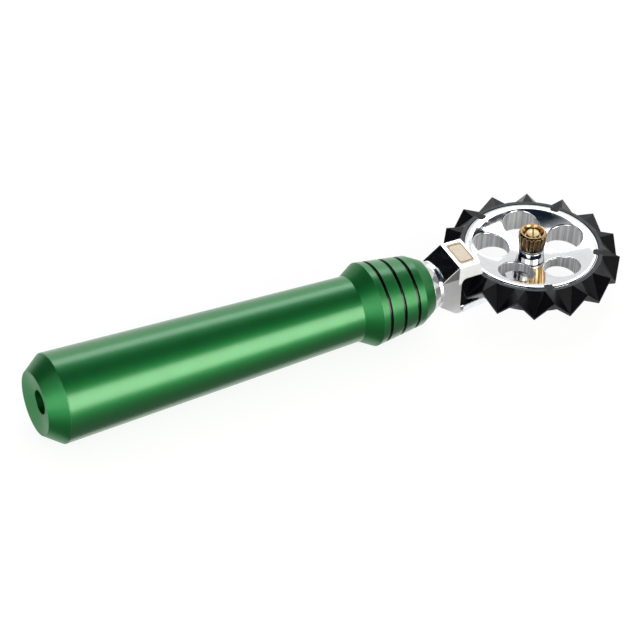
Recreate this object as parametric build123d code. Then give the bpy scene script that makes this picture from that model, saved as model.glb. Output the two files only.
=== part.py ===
from build123d import *
import math
import os

# Hand pastry wheel: a turned handle, a cast fork and a toothed wheel on an axle.
# All sizes are in millimetres. The origin is the centre of the rear bore's mouth,
# +X runs along the handle towards the wheel, +Z along the axle towards the thumb nut.

# Handle, turned from aluminium bar
rim_r = 10.0
rim_land = 0.3
grip_r = 14.0
waist_r = 10.35
collar_r = 13.3
collar_front_r = 11.15
nose_r = 8.85
rear_chamfer_length = 5.5
grip_length = 99.0
flare_length = 5.1
collar_length = 16.0
nose_length = 4.15
dish_depth = 1.5
rear_bore_r = 3.75
rear_bore_length = 25.0
drill_point = 2.0

# Three finger grooves round the collar
groove_count = 3
groove_first = 2.73
groove_pitch = 5.17
groove_width = 1.1
groove_depth = 1.0

# Ferrule, the conical ring between handle and fork
ferrule_length = 2.55
ferrule_front_r = 7.5

# Stud and spigot that join fork and handle
spigot_r = 5.0
spigot_depth = 7.7
spigot_end_gap = 0.3
stud_r = 3.0
stud_in_handle = 13.0
stud_in_fork = 11.0
stud_chamfer = 0.5
stud_end_gap = 0.5

# Fork, one casting with a guard lip above the wheel and an arm below it
neck_length = 1.0
block_inset = 0.2
block_half_width = 6.45
block_rear_half_height = 4.8
bevel_run = 5.8
back_wall = 7.1
lip_length = 7.3
lip_rake = 1.4
lip_thickness = 5.2
slot_corner_r = 1.7
fork_edge_r = 0.35
arm_thickness = 2.9
arm_root_length = 1.2
arm_waist_half_width = 4.3
arm_waist_setback = 10.2
eye_r = 5.6
eye_boss_inset = 0.4

# Gaps left for the running wheel
tooth_gap = 0.6
lip_gap = 0.5
arm_gap = 1.8
end_float = 0.15
running_clearance = 0.05
seat_clearance = 0.02

# Wheel hub, a dished disc with round holes and keyways
wheel_drop = 0.5
rest_angle = 38.6
spoke_count = 5
rim_half = 4.1
rim_width = 2.1
dish_inner_half = 1.45
boss_wall = 1.0
boss_half = 3.4
boss_edge = 0.3
rim_edge = 0.3
hole_rim_gap = 0.85
hole_boss_gap = 2.75
key_width = 2.8
key_depth = 1.7
key_root = 1.0
key_corner_r = 0.8

# Toothed ring, cut by tapering troughs from above and from below
tooth_count = 15
tooth_base_angle = 8.8
tip_r = 27.8
tip_land = 0.55
tooth_length = 5.4
ring_lip_width = 1.3
ring_lip_step = 0.1
tip_half = 3.16
groove_overrun = 6.0

# Bush, washers, axle and thumb nut
bush_wall = 0.5
journal_r = 2.6
tail_r = 2.1
thread_r = 2.0
axle_chamfer = 0.4
axle_dome = 0.7
axle_slot_width = 0.6
axle_slot_depth = 0.8
axle_slot_angle = 60.0
axle_end_rise = 0.2
lower_washer_r = 5.0
lower_washer_thickness = 1.0
upper_washer_r = 4.15
upper_washer_thickness = 0.6
nut_r = 4.42
nut_height = 5.6
nut_foot_r = 4.15
nut_taper_height = 2.5
nut_rim_r = 3.75
nut_top_chamfer = 0.6
nut_recess_r = 3.45
nut_recess_floor_r = 2.6
nut_recess_depth = 1.7
flute_count = 20
flute_depth = 0.35

# Stations along the handle, from the sharp rear rim
rim_x = -dish_depth
grip_x = rim_x + rear_chamfer_length
waist_x = grip_x + grip_length
collar_x = waist_x + flare_length
collar_end_x = collar_x + collar_length
front_x = collar_end_x + nose_length
neck_x = front_x + ferrule_length

# Stations along the fork
block_x = neck_x + neck_length - block_inset
top_x = block_x + bevel_run
slot_x = block_x + back_wall
lip_x = slot_x + lip_length
wheel_x = slot_x + tooth_gap + tip_r
arm_root_x = slot_x + arm_root_length
arm_waist_x = wheel_x - arm_waist_setback
arm_end_x = wheel_x + eye_r

# Radii of the wheel, from the tooth tips inwards and from the axle outwards
ring_lip_r = tip_r - tooth_length
hub_r = ring_lip_r - ring_lip_width
rim_inner_r = hub_r - rim_width
bush_r = journal_r + bush_wall
boss_r = bush_r + boss_wall
hole_r = (rim_inner_r - hole_rim_gap - boss_r - hole_boss_gap) / 2
hole_circle_r = boss_r + hole_boss_gap + hole_r
ring_lip_half = rim_half - ring_lip_step
eye_boss_r = eye_r - eye_boss_inset

# Levels up the axle
wheel_z = -wheel_drop
lip_z = wheel_z + rim_half + lip_gap
top_z = lip_z + lip_thickness
arm_top_z = wheel_z - rim_half - arm_gap
arm_bottom_z = arm_top_z - arm_thickness
lower_washer_top_z = wheel_z - boss_half - end_float
eye_top_z = lower_washer_top_z - lower_washer_thickness
upper_washer_z = wheel_z + boss_half + end_float
nut_z = upper_washer_z + upper_washer_thickness
nut_top_z = nut_z + nut_height
axle_top_z = nut_top_z + axle_end_rise

# Angles between repeats
spoke_step = 360.0 / spoke_count
tooth_step = 360.0 / tooth_count


def turned_on_x(points):
    """Solid of revolution about X from (x, radius) points."""
    return revolve(make_face(Polyline(*points, close=True)), Axis.X)


def turned_on_z(points):
    """Solid of revolution about Z from (radius, z) points."""
    return revolve(Plane.XZ * make_face(Polyline(*points, close=True)), Axis.Z)


def rod_x(radius, x0, x1):
    """Round bar along X between two stations."""
    return turned_on_x([(x0, 0), (x0, radius), (x1, radius), (x1, 0)])


def rod_z(radius, z0, z1):
    """Round bar along Z between two levels."""
    return turned_on_z([(0, z0), (radius, z0), (radius, z1), (0, z1)])


def tube_z(inner_r, outer_r, z0, z1):
    """Round tube along Z between two levels."""
    return turned_on_z([(inner_r, z0), (outer_r, z0), (outer_r, z1), (inner_r, z1)])


def make_handle():
    """Grip that swells to the rear, a flare, a tapered grooved collar and a conical nose."""
    body = turned_on_x([
        (0, 0),
        (0, rear_bore_r),
        (rim_x, rim_r - rim_land),
        (rim_x, rim_r),
        (grip_x, grip_r),
        (waist_x, waist_r),
        (collar_x, collar_r),
        (collar_end_x, collar_front_r),
        (front_x, nose_r),
        (front_x, 0),
    ])
    bore_end_x = rear_bore_length
    body -= turned_on_x([
        (0, 0),
        (0, rear_bore_r),
        (bore_end_x, rear_bore_r),
        (bore_end_x + drill_point, 0),
    ])
    collar_taper = (collar_r - collar_front_r) / collar_length
    for index in range(groove_count):
        groove_offset = groove_first + index * groove_pitch
        rear_x = collar_x + groove_offset - groove_width / 2
        floor_r = collar_r - groove_offset * collar_taper - groove_depth
        body -= turned_on_x([
            (rear_x, floor_r),
            (rear_x, collar_r + groove_depth),
            (rear_x + groove_width, collar_r + groove_depth),
            (rear_x + groove_width, floor_r),
        ])
    counterbore_x = front_x - spigot_depth - spigot_end_gap
    body -= rod_x(spigot_r + seat_clearance, counterbore_x, front_x)
    stud_hole_x = counterbore_x - stud_in_handle - stud_end_gap
    body -= rod_x(stud_r + seat_clearance, stud_hole_x, counterbore_x)
    return body


def make_ferrule():
    """Conical ring that carries the nose's slope on to the fork's neck."""
    bore_r = spigot_r + seat_clearance
    return turned_on_x([
        (front_x, bore_r),
        (front_x, nose_r),
        (neck_x, ferrule_front_r),
        (neck_x, bore_r),
    ])


def make_fork_stud():
    """Threaded stud, half in the handle and half in the fork's spigot."""
    spigot_x = front_x - spigot_depth
    x0 = spigot_x - spigot_end_gap - stud_in_handle
    x1 = spigot_x + stud_in_fork
    return turned_on_x([
        (x0, 0),
        (x0, stud_r - stud_chamfer),
        (x0 + stud_chamfer, stud_r),
        (x1 - stud_chamfer, stud_r),
        (x1, stud_r - stud_chamfer),
        (x1, 0),
    ])


def make_fork():
    """Bevelled block with a guard lip, a long arm with an eye, a neck and a spigot."""
    side = make_face(Polyline(
        (block_x, block_rear_half_height),
        (top_x, top_z),
        (lip_x - lip_rake, top_z),
        (lip_x, lip_z),
        (slot_x, lip_z),
        (slot_x, arm_top_z),
        (arm_end_x, arm_top_z),
        (arm_end_x, arm_bottom_z),
        (top_x, arm_bottom_z),
        (block_x, -block_rear_half_height),
        close=True,
    ))
    slot_corner = side.vertices().sort_by_distance((slot_x, lip_z, 0))[0]
    side = fillet(slot_corner, slot_corner_r)
    side_prism = extrude(Plane.XZ * side, amount=block_half_width + eye_r, both=True)
    plan = make_face(Polyline(
        (block_x, -block_half_width),
        (arm_root_x, -block_half_width),
        (arm_waist_x, -arm_waist_half_width),
        (wheel_x, -arm_waist_half_width),
        (wheel_x, arm_waist_half_width),
        (arm_waist_x, arm_waist_half_width),
        (arm_root_x, block_half_width),
        (block_x, block_half_width),
        close=True,
    ))
    plan += Pos(wheel_x, 0) * Circle(eye_r)
    plan_prism = extrude(Pos(0, 0, arm_bottom_z) * plan, amount=top_z - arm_bottom_z)
    lip_plan = make_face(Polyline(
        (block_x, -block_half_width),
        (lip_x, -block_half_width),
        (lip_x, block_half_width),
        (block_x, block_half_width),
        close=True,
    ))
    plan_prism += extrude(Pos(0, 0, wheel_z) * lip_plan, amount=top_z - wheel_z)
    casting = side_prism & plan_prism
    casting = fillet(casting.edges(), fork_edge_r)
    spigot_x = front_x - spigot_depth
    neck_front_x = neck_x + neck_length
    casting += turned_on_x([
        (spigot_x, 0),
        (spigot_x, spigot_r),
        (neck_x, spigot_r),
        (neck_x, ferrule_front_r),
        (neck_front_x, ferrule_front_r),
        (neck_front_x + ferrule_front_r, 0),
    ])
    casting += Pos(wheel_x, 0, 0) * rod_z(eye_boss_r, arm_bottom_z, eye_top_z)
    casting -= rod_x(stud_r + seat_clearance, spigot_x, spigot_x + stud_in_fork + stud_end_gap)
    casting -= Pos(wheel_x, 0, 0) * rod_z(tail_r + seat_clearance, arm_bottom_z, eye_top_z)
    return casting


def key_outline(clearance):
    """Plan of one key across the hub's rim, grown all round by a clearance."""
    length = key_depth + key_root + 2 * clearance
    width = key_width + 2 * clearance
    centre_r = hub_r + (key_root - key_depth) / 2
    return Pos(centre_r, 0) * RectangleRounded(length, width, key_corner_r + clearance)


def two_sided(upper):
    """Turned solid from the upper half of a section that is the same below."""
    lower = [(radius, -level) for radius, level in reversed(upper)]
    return turned_on_z(upper + lower)


def make_hub():
    """Disc hollowed to a sphere on both sides, with a boss, round holes and a keyway at each spoke."""
    hub = two_sided([
        (bush_r + seat_clearance, rim_half),
        (hub_r - rim_edge, rim_half),
        (hub_r, rim_half - rim_edge),
    ])
    rise = rim_half - dish_inner_half
    hollow_z = dish_inner_half + (rim_inner_r ** 2 - boss_r ** 2 + rise ** 2) / (2 * rise)
    hollow_r = math.hypot(boss_r, hollow_z - dish_inner_half)
    hub -= Pos(0, 0, hollow_z) * Sphere(hollow_r)
    hub -= Pos(0, 0, -hollow_z) * Sphere(hollow_r)
    hub += two_sided([
        (bush_r + seat_clearance, boss_half),
        (boss_r - boss_edge, boss_half),
        (boss_r, boss_half - boss_edge),
    ])
    hole = Pos(hole_circle_r, 0, 0) * rod_z(hole_r, -rim_half, rim_half)
    keyway = extrude(key_outline(seat_clearance), amount=rim_half, both=True)
    for index in range(spoke_count):
        spoke_angle = rest_angle + index * spoke_step
        hub -= Rot(0, 0, spoke_angle + spoke_step / 2) * hole
        hub -= Rot(0, 0, spoke_angle) * keyway
    return Pos(wheel_x, 0, wheel_z) * hub


def polar_point(radius, angle, level):
    """Point at a radius, an angle in degrees and a level."""
    turn = math.radians(angle)
    return Vector(radius * math.cos(turn), radius * math.sin(turn), level)


def plane_through(first, second, third):
    """Plane through three points, facing the side from which they run anticlockwise."""
    return Plane(origin=first, z_dir=(second - first).cross(third - first))


def tooth_groove():
    """Trough between two upper teeth, as wide at the ring's lip as the teeth leave it.

    Its floor narrows from the lip to a lower tooth tip. Its two flanks pass through the
    upper tips on either side, so that the flanks cut from above and from below meet in
    a zigzag edge.
    """
    sharp_r = tip_r + tip_land
    half_mouth = (tooth_step - tooth_base_angle) / 2
    toe = polar_point(sharp_r, 0, -tip_half)
    left = polar_point(ring_lip_r, half_mouth, ring_lip_half)
    right = polar_point(ring_lip_r, -half_mouth, ring_lip_half)
    left_tip = polar_point(sharp_r, tooth_step / 2, tip_half)
    right_tip = polar_point(sharp_r, -tooth_step / 2, tip_half)
    reach = 2 * groove_overrun + tooth_length
    groove = Pos(sharp_r, 0, 0) * Box(2 * reach, 2 * reach, 2 * reach)
    groove = split(groove, bisect_by=plane_through(right, toe, left), keep=Keep.TOP)
    groove = split(groove, bisect_by=plane_through(left, toe, left_tip), keep=Keep.TOP)
    return split(groove, bisect_by=plane_through(right, right_tip, toe), keep=Keep.TOP)


def make_toothed_ring():
    """Ring with a zigzag edge, keyed to the hub."""
    inner_r = hub_r + seat_clearance
    upper = [
        (inner_r, ring_lip_half),
        (ring_lip_r, ring_lip_half),
        (tip_r, tip_half),
    ]
    lower = [(radius, -level) for radius, level in reversed(upper)]
    ring = turned_on_z(upper + lower)
    key = extrude(key_outline(0), amount=ring_lip_half, both=True)
    for index in range(spoke_count):
        ring += Rot(0, 0, rest_angle + index * spoke_step) * key
    upper_groove = tooth_groove()
    lower_groove = mirror(upper_groove, Plane.XY)
    grooves = []
    for index in range(tooth_count):
        peak_angle = rest_angle + index * tooth_step
        grooves.append(Rot(0, 0, peak_angle + tooth_step / 2) * upper_groove)
        grooves.append(Rot(0, 0, peak_angle) * lower_groove)
    ring -= grooves
    return Pos(wheel_x, 0, wheel_z) * ring


def make_hub_bush():
    """Plain bearing pressed into the hub."""
    bore_r = journal_r + running_clearance
    bush = tube_z(bore_r, bush_r, -boss_half, boss_half)
    return Pos(wheel_x, 0, wheel_z) * bush


def make_lower_thrust_washer():
    """Washer between the arm's eye and the hub."""
    bore_r = journal_r + seat_clearance
    washer = tube_z(bore_r, lower_washer_r, eye_top_z, lower_washer_top_z)
    return Pos(wheel_x, 0, 0) * washer


def make_upper_thrust_washer():
    """Washer that the thumb nut clamps on the axle's shoulder."""
    bore_r = thread_r + running_clearance
    washer = tube_z(bore_r, upper_washer_r, upper_washer_z, nut_z)
    return Pos(wheel_x, 0, 0) * washer


def make_axle():
    """Stepped pin: a tail in the eye, a journal, and a thread with a slotted domed end."""
    pin = turned_on_z([
        (0, arm_bottom_z),
        (tail_r - axle_chamfer, arm_bottom_z),
        (tail_r, arm_bottom_z + axle_chamfer),
        (tail_r, eye_top_z),
        (journal_r, eye_top_z),
        (journal_r, upper_washer_z),
        (thread_r, upper_washer_z),
        (thread_r, axle_top_z - axle_dome),
        (0, axle_top_z - axle_dome),
    ])
    dome_r = (thread_r ** 2 + axle_dome ** 2) / (2 * axle_dome)
    dome = Pos(0, 0, axle_top_z - dome_r) * Sphere(dome_r)
    pin += dome & rod_z(thread_r, axle_top_z - axle_dome, axle_top_z)
    slot = Pos(0, 0, axle_top_z) * Box(2 * thread_r, axle_slot_width, 2 * axle_slot_depth)
    pin -= Rot(0, 0, axle_slot_angle) * slot
    return Pos(wheel_x, 0, 0) * pin


def make_thumb_nut():
    """Fluted nut, drawn in towards its foot, with a chamfered rim round a conical recess."""
    outline = []
    for index in range(2 * flute_count):
        angle = math.pi * index / flute_count
        radius = nut_r - flute_depth * (index % 2)
        outline.append((radius * math.cos(angle), radius * math.sin(angle)))
    fluted = extrude(Pos(0, 0, nut_z) * make_face(Polyline(*outline, close=True)), amount=nut_height)
    blank = turned_on_z([
        (0, nut_z),
        (nut_foot_r, nut_z),
        (nut_r, nut_z + nut_taper_height),
        (nut_r, nut_top_z - nut_top_chamfer),
        (nut_rim_r, nut_top_z),
        (0, nut_top_z),
    ])
    nut = fluted & blank
    nut -= rod_z(thread_r + running_clearance, nut_z, nut_top_z)
    recess_z = nut_top_z - nut_recess_depth
    nut -= turned_on_z([
        (0, recess_z),
        (nut_recess_floor_r, recess_z),
        (nut_recess_r, nut_top_z),
        (0, nut_top_z),
    ])
    return Pos(wheel_x, 0, 0) * nut


def main():
    """Builds every piece and writes one file for each."""
    pieces = {
        "handle": make_handle(),
        "ferrule": make_ferrule(),
        "fork_stud": make_fork_stud(),
        "fork": make_fork(),
        "axle": make_axle(),
        "lower_thrust_washer": make_lower_thrust_washer(),
        "hub": make_hub(),
        "hub_bush": make_hub_bush(),
        "toothed_ring": make_toothed_ring(),
        "upper_thrust_washer": make_upper_thrust_washer(),
        "thumb_nut": make_thumb_nut(),
    }
    os.makedirs("parts", exist_ok=True)
    for name, shape in pieces.items():
        export_step(shape, f"parts/{name}.step")


main()
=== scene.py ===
"""Looks of a hand pastry wheel: final surfaces, finishes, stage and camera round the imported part.

Surfaces are worked out with numpy in millimetres, in the part's own frame: the origin is the centre
of the rear bore's mouth, +X runs along the handle to the wheel, +Z along the axle to the thumb nut.
"""

import logging
import math
from dataclasses import dataclass
from enum import Enum

import bmesh
import bpy
import numpy as np
from mathutils import Matrix, Vector


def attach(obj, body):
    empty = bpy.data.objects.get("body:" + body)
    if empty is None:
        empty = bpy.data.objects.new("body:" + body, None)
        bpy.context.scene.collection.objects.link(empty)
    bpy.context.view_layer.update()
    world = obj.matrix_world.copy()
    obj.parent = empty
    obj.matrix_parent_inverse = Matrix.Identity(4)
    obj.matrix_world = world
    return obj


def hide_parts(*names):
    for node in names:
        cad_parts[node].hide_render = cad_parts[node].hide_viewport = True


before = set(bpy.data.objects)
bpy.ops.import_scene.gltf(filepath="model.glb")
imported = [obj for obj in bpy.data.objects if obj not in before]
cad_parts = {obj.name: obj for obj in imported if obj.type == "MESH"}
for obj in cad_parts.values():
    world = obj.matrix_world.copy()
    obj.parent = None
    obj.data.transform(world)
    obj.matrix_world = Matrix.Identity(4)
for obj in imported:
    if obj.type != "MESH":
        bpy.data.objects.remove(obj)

Array = np.ndarray
Material = bpy.types.Material
Piece = bpy.types.Object
Socket = bpy.types.NodeSocket
Pair = tuple[float, float]
Triple = tuple[float, float, float]

LOG = logging.getLogger("pastry_wheel")
MM = 0.001
MERGE_M, COLLAPSE_M = 2e-7, 1e-8
QUARTER = math.pi / 2
UNIT: Pair = (0.0, 1.0)
RECTANGLE = np.array(((-0.5, -0.5), (0.5, -0.5), (0.5, 0.5), (-0.5, 0.5)))

AXLE_CENTRE: Triple = (167.1, 0.0, 0.0)
WHEEL_CENTRE: Triple = (167.1, 0.0, -0.5)
WHEEL_REST = 38.6
SPOKES, SPOKE_STEP, HALF_STEP = 5, 72.0, 36.0
KEY_SHARE, KEY_STEPS = 4.0, 17


class Axis(Enum):
    """Axis that a profile is turned about."""

    X = "x"
    Z = "z"


class Body(Enum):
    """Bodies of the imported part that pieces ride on."""

    HANDLE_FRAME = "handle_frame"
    WHEEL = "wheel"
    NUT_WASHER = "nut_washer"
    THUMB_NUT = "thumb_nut"


class SatinZone(Enum):
    """Part of a plated piece that is left unpolished."""

    NONE = "none"
    WORN = "worn"
    # Fork's sides: satin, with painted reflection, white on the lip and dark on the block's top.
    FORK_SIDES_PAINTED_LIGHT = "fork_sides_painted_light"


# Surfaces


@dataclass
class Surface:
    """Points in millimetres, faces as index arrays of one corner count each, and wear per point."""

    points: Array
    faces: list[Array]
    wear: Array

    def moved(self, offset: Triple) -> "Surface":
        """Copy shifted by an offset."""
        return Surface(self.points + np.array(offset), self.faces, self.wear)

    def turned(self, degrees: float) -> "Surface":
        """Copy turned about Z."""
        return Surface(self.points @ z_turn(degrees).T, self.faces, self.wear)

    def mirrored(self) -> "Surface":
        """Copy mirrored in the plane Z = 0, with its faces turned back outwards."""
        points = self.points * np.array((1.0, 1.0, -1.0))
        return Surface(points, [corners[:, ::-1] for corners in self.faces], self.wear)


def z_turn(degrees: float) -> Array:
    """Matrix of a turn about Z."""
    c, s = math.cos(math.radians(degrees)), math.sin(math.radians(degrees))
    return np.array(((c, -s, 0.0), (s, c, 0.0), (0.0, 0.0, 1.0)))


def full_turn(count: int) -> Array:
    """Even steps of a whole turn, in degrees."""
    return np.linspace(0.0, 360.0, count, endpoint=False)


def polar(radius: Array | float, degrees: Array | float) -> Array:
    """Plan points at a radius and an angle: (radius cos a, radius sin a)."""
    angle = np.radians(degrees)
    return np.stack(np.broadcast_arrays(radius * np.cos(angle), radius * np.sin(angle)), axis=-1)


def unit(vectors: Array) -> Array:
    """Vectors divided by their lengths."""
    return vectors / np.linalg.norm(vectors, axis=-1, keepdims=True)


def lifted(plan: Array, level: Array | float) -> Array:
    """Plan points raised to a level each."""
    levels = np.broadcast_to(level, plan.shape[:-1])
    return np.concatenate([plan, levels[..., None]], axis=-1)


def corner_rows(*rows: tuple[float, ...]) -> Array:
    """Rows of two coordinates, rounding radius and wear, with none for what a row leaves out."""
    return np.array([row + (0.0,) * (4 - len(row)) for row in rows])


def joined(parts: list[Surface]) -> Surface:
    """One surface from several.

    Args:
        parts: Surfaces whose points follow each other in the result.

    Returns:
        The surface, with each part's face indices raised by the points before it.
    """
    starts = np.cumsum([0] + [len(part.points) for part in parts])
    faces = [corners + start for part, start in zip(parts, starts) for corners in part.faces]
    points = np.concatenate([part.points for part in parts])
    return Surface(points, faces, np.concatenate([part.wear for part in parts]))


def at_spokes(rows: Array, first: float = 0.0) -> Array:
    """Rows of points, copied to every spoke.

    Args:
        rows: Array of rows, columns and two or three coordinates.
        first: Angle of the first copy.

    Returns:
        The rows, each with its copies one after the other.
    """
    size = rows.shape[-1]
    turns = np.stack([z_turn(SPOKE_STEP * index + first)[:size, :size] for index in range(SPOKES)])
    return np.einsum("kij,rcj->rkci", turns, rows).reshape(len(rows), -1, size)


def grid(points: Array, wear: Array | float = 0.0, closed: bool = False) -> Surface:
    """Quads over a grid of points whose columns go round and join up.

    Args:
        points: Array of rows, columns and three coordinates.
        wear: Share of wear, for the whole grid or one for each row.
        closed: Whether the last row joins the first as well.

    Returns:
        The surface: the quad at (r, c) has the corners (r, c), (r, c + 1), (r + 1, c + 1), (r + 1, c).
    """
    rows, columns = points.shape[:2]
    r0, c0 = np.meshgrid(np.arange(rows if closed else rows - 1), np.arange(columns), indexing="ij")
    r1, c1 = (r0 + 1) % rows, (c0 + 1) % columns
    corners = [r0 * columns + c0, r0 * columns + c1, r1 * columns + c1, r1 * columns + c0]
    quads = np.stack(corners, axis=-1).reshape(-1, 4)
    row_wear = np.broadcast_to(np.asarray(wear, float).reshape(-1, 1), (rows, columns))
    return Surface(points.reshape(-1, 3), [quads], row_wear.reshape(-1).copy())


def rounded(corners: Array, closed: bool, steps: int = 7) -> tuple[Array, Array]:
    """Rounds the corners of a chain by circular arcs.

    With d the direction in, n the normal towards the inside of the turn t and r the radius, an arc
    starts r tan(t / 2) before its corner and is start + r (sin a d + (1 - cos a) n), a from 0 to t.

    Args:
        corners: Rows of two coordinates, the rounding radius and the share of wear on that edge.
        closed: Whether the last corner joins the first. If not, the two ends stay as they are.
        steps: Points on each arc.

    Returns:
        The points of the rounded chain, and the wear at each, which fades to none at the arc's ends.
    """
    here = corners if closed else corners[1:-1]
    before = np.roll(corners, 1, axis=0) if closed else corners[:-2]
    after = np.roll(corners, -1, axis=0) if closed else corners[2:]
    run_in = unit(here[:, :2] - before[:, :2])
    run_out = unit(after[:, :2] - here[:, :2])
    cross = run_in[:, 0] * run_out[:, 1] - run_in[:, 1] * run_out[:, 0]
    turn = np.arctan2(np.abs(cross), (run_in * run_out).sum(axis=1))
    normal = np.sign(cross)[:, None] * np.stack([-run_in[:, 1], run_in[:, 0]], axis=1)
    radius = here[:, 2, None]
    start = here[:, :2] - run_in * radius * np.tan(turn / 2)[:, None]
    share = np.linspace(0.0, 1.0, steps)
    angle = (turn[:, None] * share)[..., None]
    bend = np.sin(angle) * run_in[:, None] + (1 - np.cos(angle)) * normal[:, None]
    points = (start[:, None] + radius[:, None] * bend).reshape(-1, 2)
    wear = (here[:, 3, None] * np.sin(np.pi * share)).reshape(-1)
    if closed:
        return points, wear
    points = np.concatenate([corners[:1, :2], points, corners[-1:, :2]])
    return points, np.concatenate([[0.0], wear, [0.0]])


def refined(points: Array, wear: Array, spacing: float) -> tuple[Array, Array]:
    """Adds points along the straight runs of a chain.

    Args:
        points: Rows of two coordinates.
        wear: Wear at each point.
        spacing: Longest distance left between added points.

    Returns:
        The chain read at its own points and at even steps of its length, and the wear read there.
    """
    length = np.concatenate([[0.0], np.cumsum(np.linalg.norm(np.diff(points, axis=0), axis=1))])
    even = np.linspace(0.0, length[-1], int(length[-1] / spacing) + 2)
    at = np.union1d(length, even)
    chain = np.stack([np.interp(at, length, column) for column in points.T], axis=1)
    return chain, np.interp(at, length, wear)


def lathe(profile: Array, wear: Array, axis: Axis, count: int, closed: bool) -> Surface:
    """Turns a profile about an axis.

    The point at place p, radius r and angle a is (p, r cos a, r sin a) about X, and
    (r cos a, r sin a, p) about Z.

    Args:
        profile: Rows of the place along the axis and the radius.
        wear: Wear at each row.
        axis: Axis of the turn.
        count: Steps round the axis.
        closed: Whether the profile is a closed loop.

    Returns:
        The surface of revolution.
    """
    around = polar(profile[:, 1:2], full_turn(count)[None])
    along = np.broadcast_to(profile[:, :1], around.shape[:2])[..., None]
    order = [along, around] if axis is Axis.X else [around, along]
    return grid(np.concatenate(order, axis=-1), wear, closed)


# Pieces


def placed(name: str, data: bpy.types.ID) -> Piece:
    """New object in the scene."""
    item = bpy.data.objects.new(name, data)
    bpy.context.scene.collection.objects.link(item)
    return item


def make_piece(surface: Surface, name: str, sharp: float = 40.0) -> Piece:
    """Puts a surface into a mesh object at the origin.

    Args:
        surface: Surface in millimetres.
        name: Name of the object.
        sharp: Angle in degrees from which an edge shades sharp.

    Returns:
        The object, with doubles merged, faces outwards and a point attribute named wear.
    """
    mesh = bpy.data.meshes.new(name)
    corners = np.concatenate([face.ravel() for face in surface.faces]).astype(np.int32)
    counts = np.concatenate([np.full(len(face), face.shape[1]) for face in surface.faces])
    starts = np.concatenate([[0], np.cumsum(counts)[:-1]]).astype(np.int32)
    mesh.vertices.add(len(surface.points))
    mesh.vertices.foreach_set("co", (surface.points * MM).astype(np.float32).ravel())
    mesh.loops.add(len(corners))
    mesh.loops.foreach_set("vertex_index", corners)
    mesh.polygons.add(len(counts))
    mesh.polygons.foreach_set("loop_start", starts)
    mesh.update(calc_edges=True)
    wear = mesh.attributes.new("wear", "FLOAT", "POINT")
    wear.data.foreach_set("value", surface.wear.astype(np.float32))
    close_mesh(mesh)
    mesh.polygons.foreach_set("use_smooth", np.ones(len(mesh.polygons), dtype=bool))
    mesh.set_sharp_from_angle(angle=math.radians(sharp))
    return placed(name, mesh)


def close_mesh(mesh: bpy.types.Mesh) -> None:
    """Merges doubles, drops collapsed faces and turns all faces outwards.

    Args:
        mesh: Mesh to close.
    """
    work = bmesh.new()
    work.from_mesh(mesh)
    bmesh.ops.remove_doubles(work, verts=work.verts[:], dist=MERGE_M)
    bmesh.ops.dissolve_degenerate(work, edges=work.edges[:], dist=COLLAPSE_M)
    bmesh.ops.recalc_face_normals(work, faces=work.faces[:])
    work.to_mesh(mesh)
    work.free()


def face_centres(mesh: bpy.types.Mesh, centre: Triple) -> Array:
    """Middles of a mesh's faces in millimetres, from a centre.

    Args:
        mesh: Mesh in metres.
        centre: Point in millimetres that the middles are counted from.

    Returns:
        One row for each face.
    """
    centres = np.zeros(3 * len(mesh.polygons), np.float32)
    mesh.polygons.foreach_get("center", centres)
    return centres.reshape(-1, 3) / MM - np.array(centre)


def modify(piece: Piece, name: str, kind: str, **settings: object) -> None:
    """Adds a modifier with its settings."""
    modifier = piece.modifiers.new(name, kind)
    for setting, value in settings.items():
        setattr(modifier, setting, value)


def even_shading(piece: Piece) -> None:
    """Lets large faces lead the shading, so that flats stay flat beside small rounds."""
    modify(piece, "even_shading", "WEIGHTED_NORMAL", mode="FACE_AREA", weight=100, keep_sharp=True)


def dress(mesh: bpy.types.Mesh, *materials: Material) -> None:
    """Gives a mesh its finishes, in the order of its material indices."""
    mesh.materials.clear()
    for material in materials:
        mesh.materials.append(material)


def dress_node(node: str, material: Material) -> None:
    """Gives a carried-over CAD node its finish."""
    dress(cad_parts[node].data, material)
    LOG.info("%s: carried over", node)


def settle(piece: Piece, body: Body, node: str | None = None) -> None:
    """Joins a finished piece to its body and hides the node that it stands for.

    Args:
        piece: Finished mesh object.
        body: Body that it rides on.
        node: CAD node that it replaces, if any.
    """
    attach(piece, body.value)
    if node:
        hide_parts(node)
    LOG.info("%s: %d faces on %s", piece.name, len(piece.data.polygons), body.value)


def add_piece(surface: Surface, name: str, finish: Material, body: Body, node: str,
              sharp: float = 40.0) -> None:
    """Makes, shades, dresses and settles a piece that has one finish.

    Args:
        surface: Surface in millimetres.
        name: Name of the piece.
        finish: Its material.
        body: Body that it rides on.
        node: CAD node that it replaces.
        sharp: Angle in degrees from which an edge shades sharp.
    """
    piece = make_piece(surface, name, sharp)
    even_shading(piece)
    dress(piece.data, finish)
    settle(piece, body, node)


# Finishes


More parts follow.
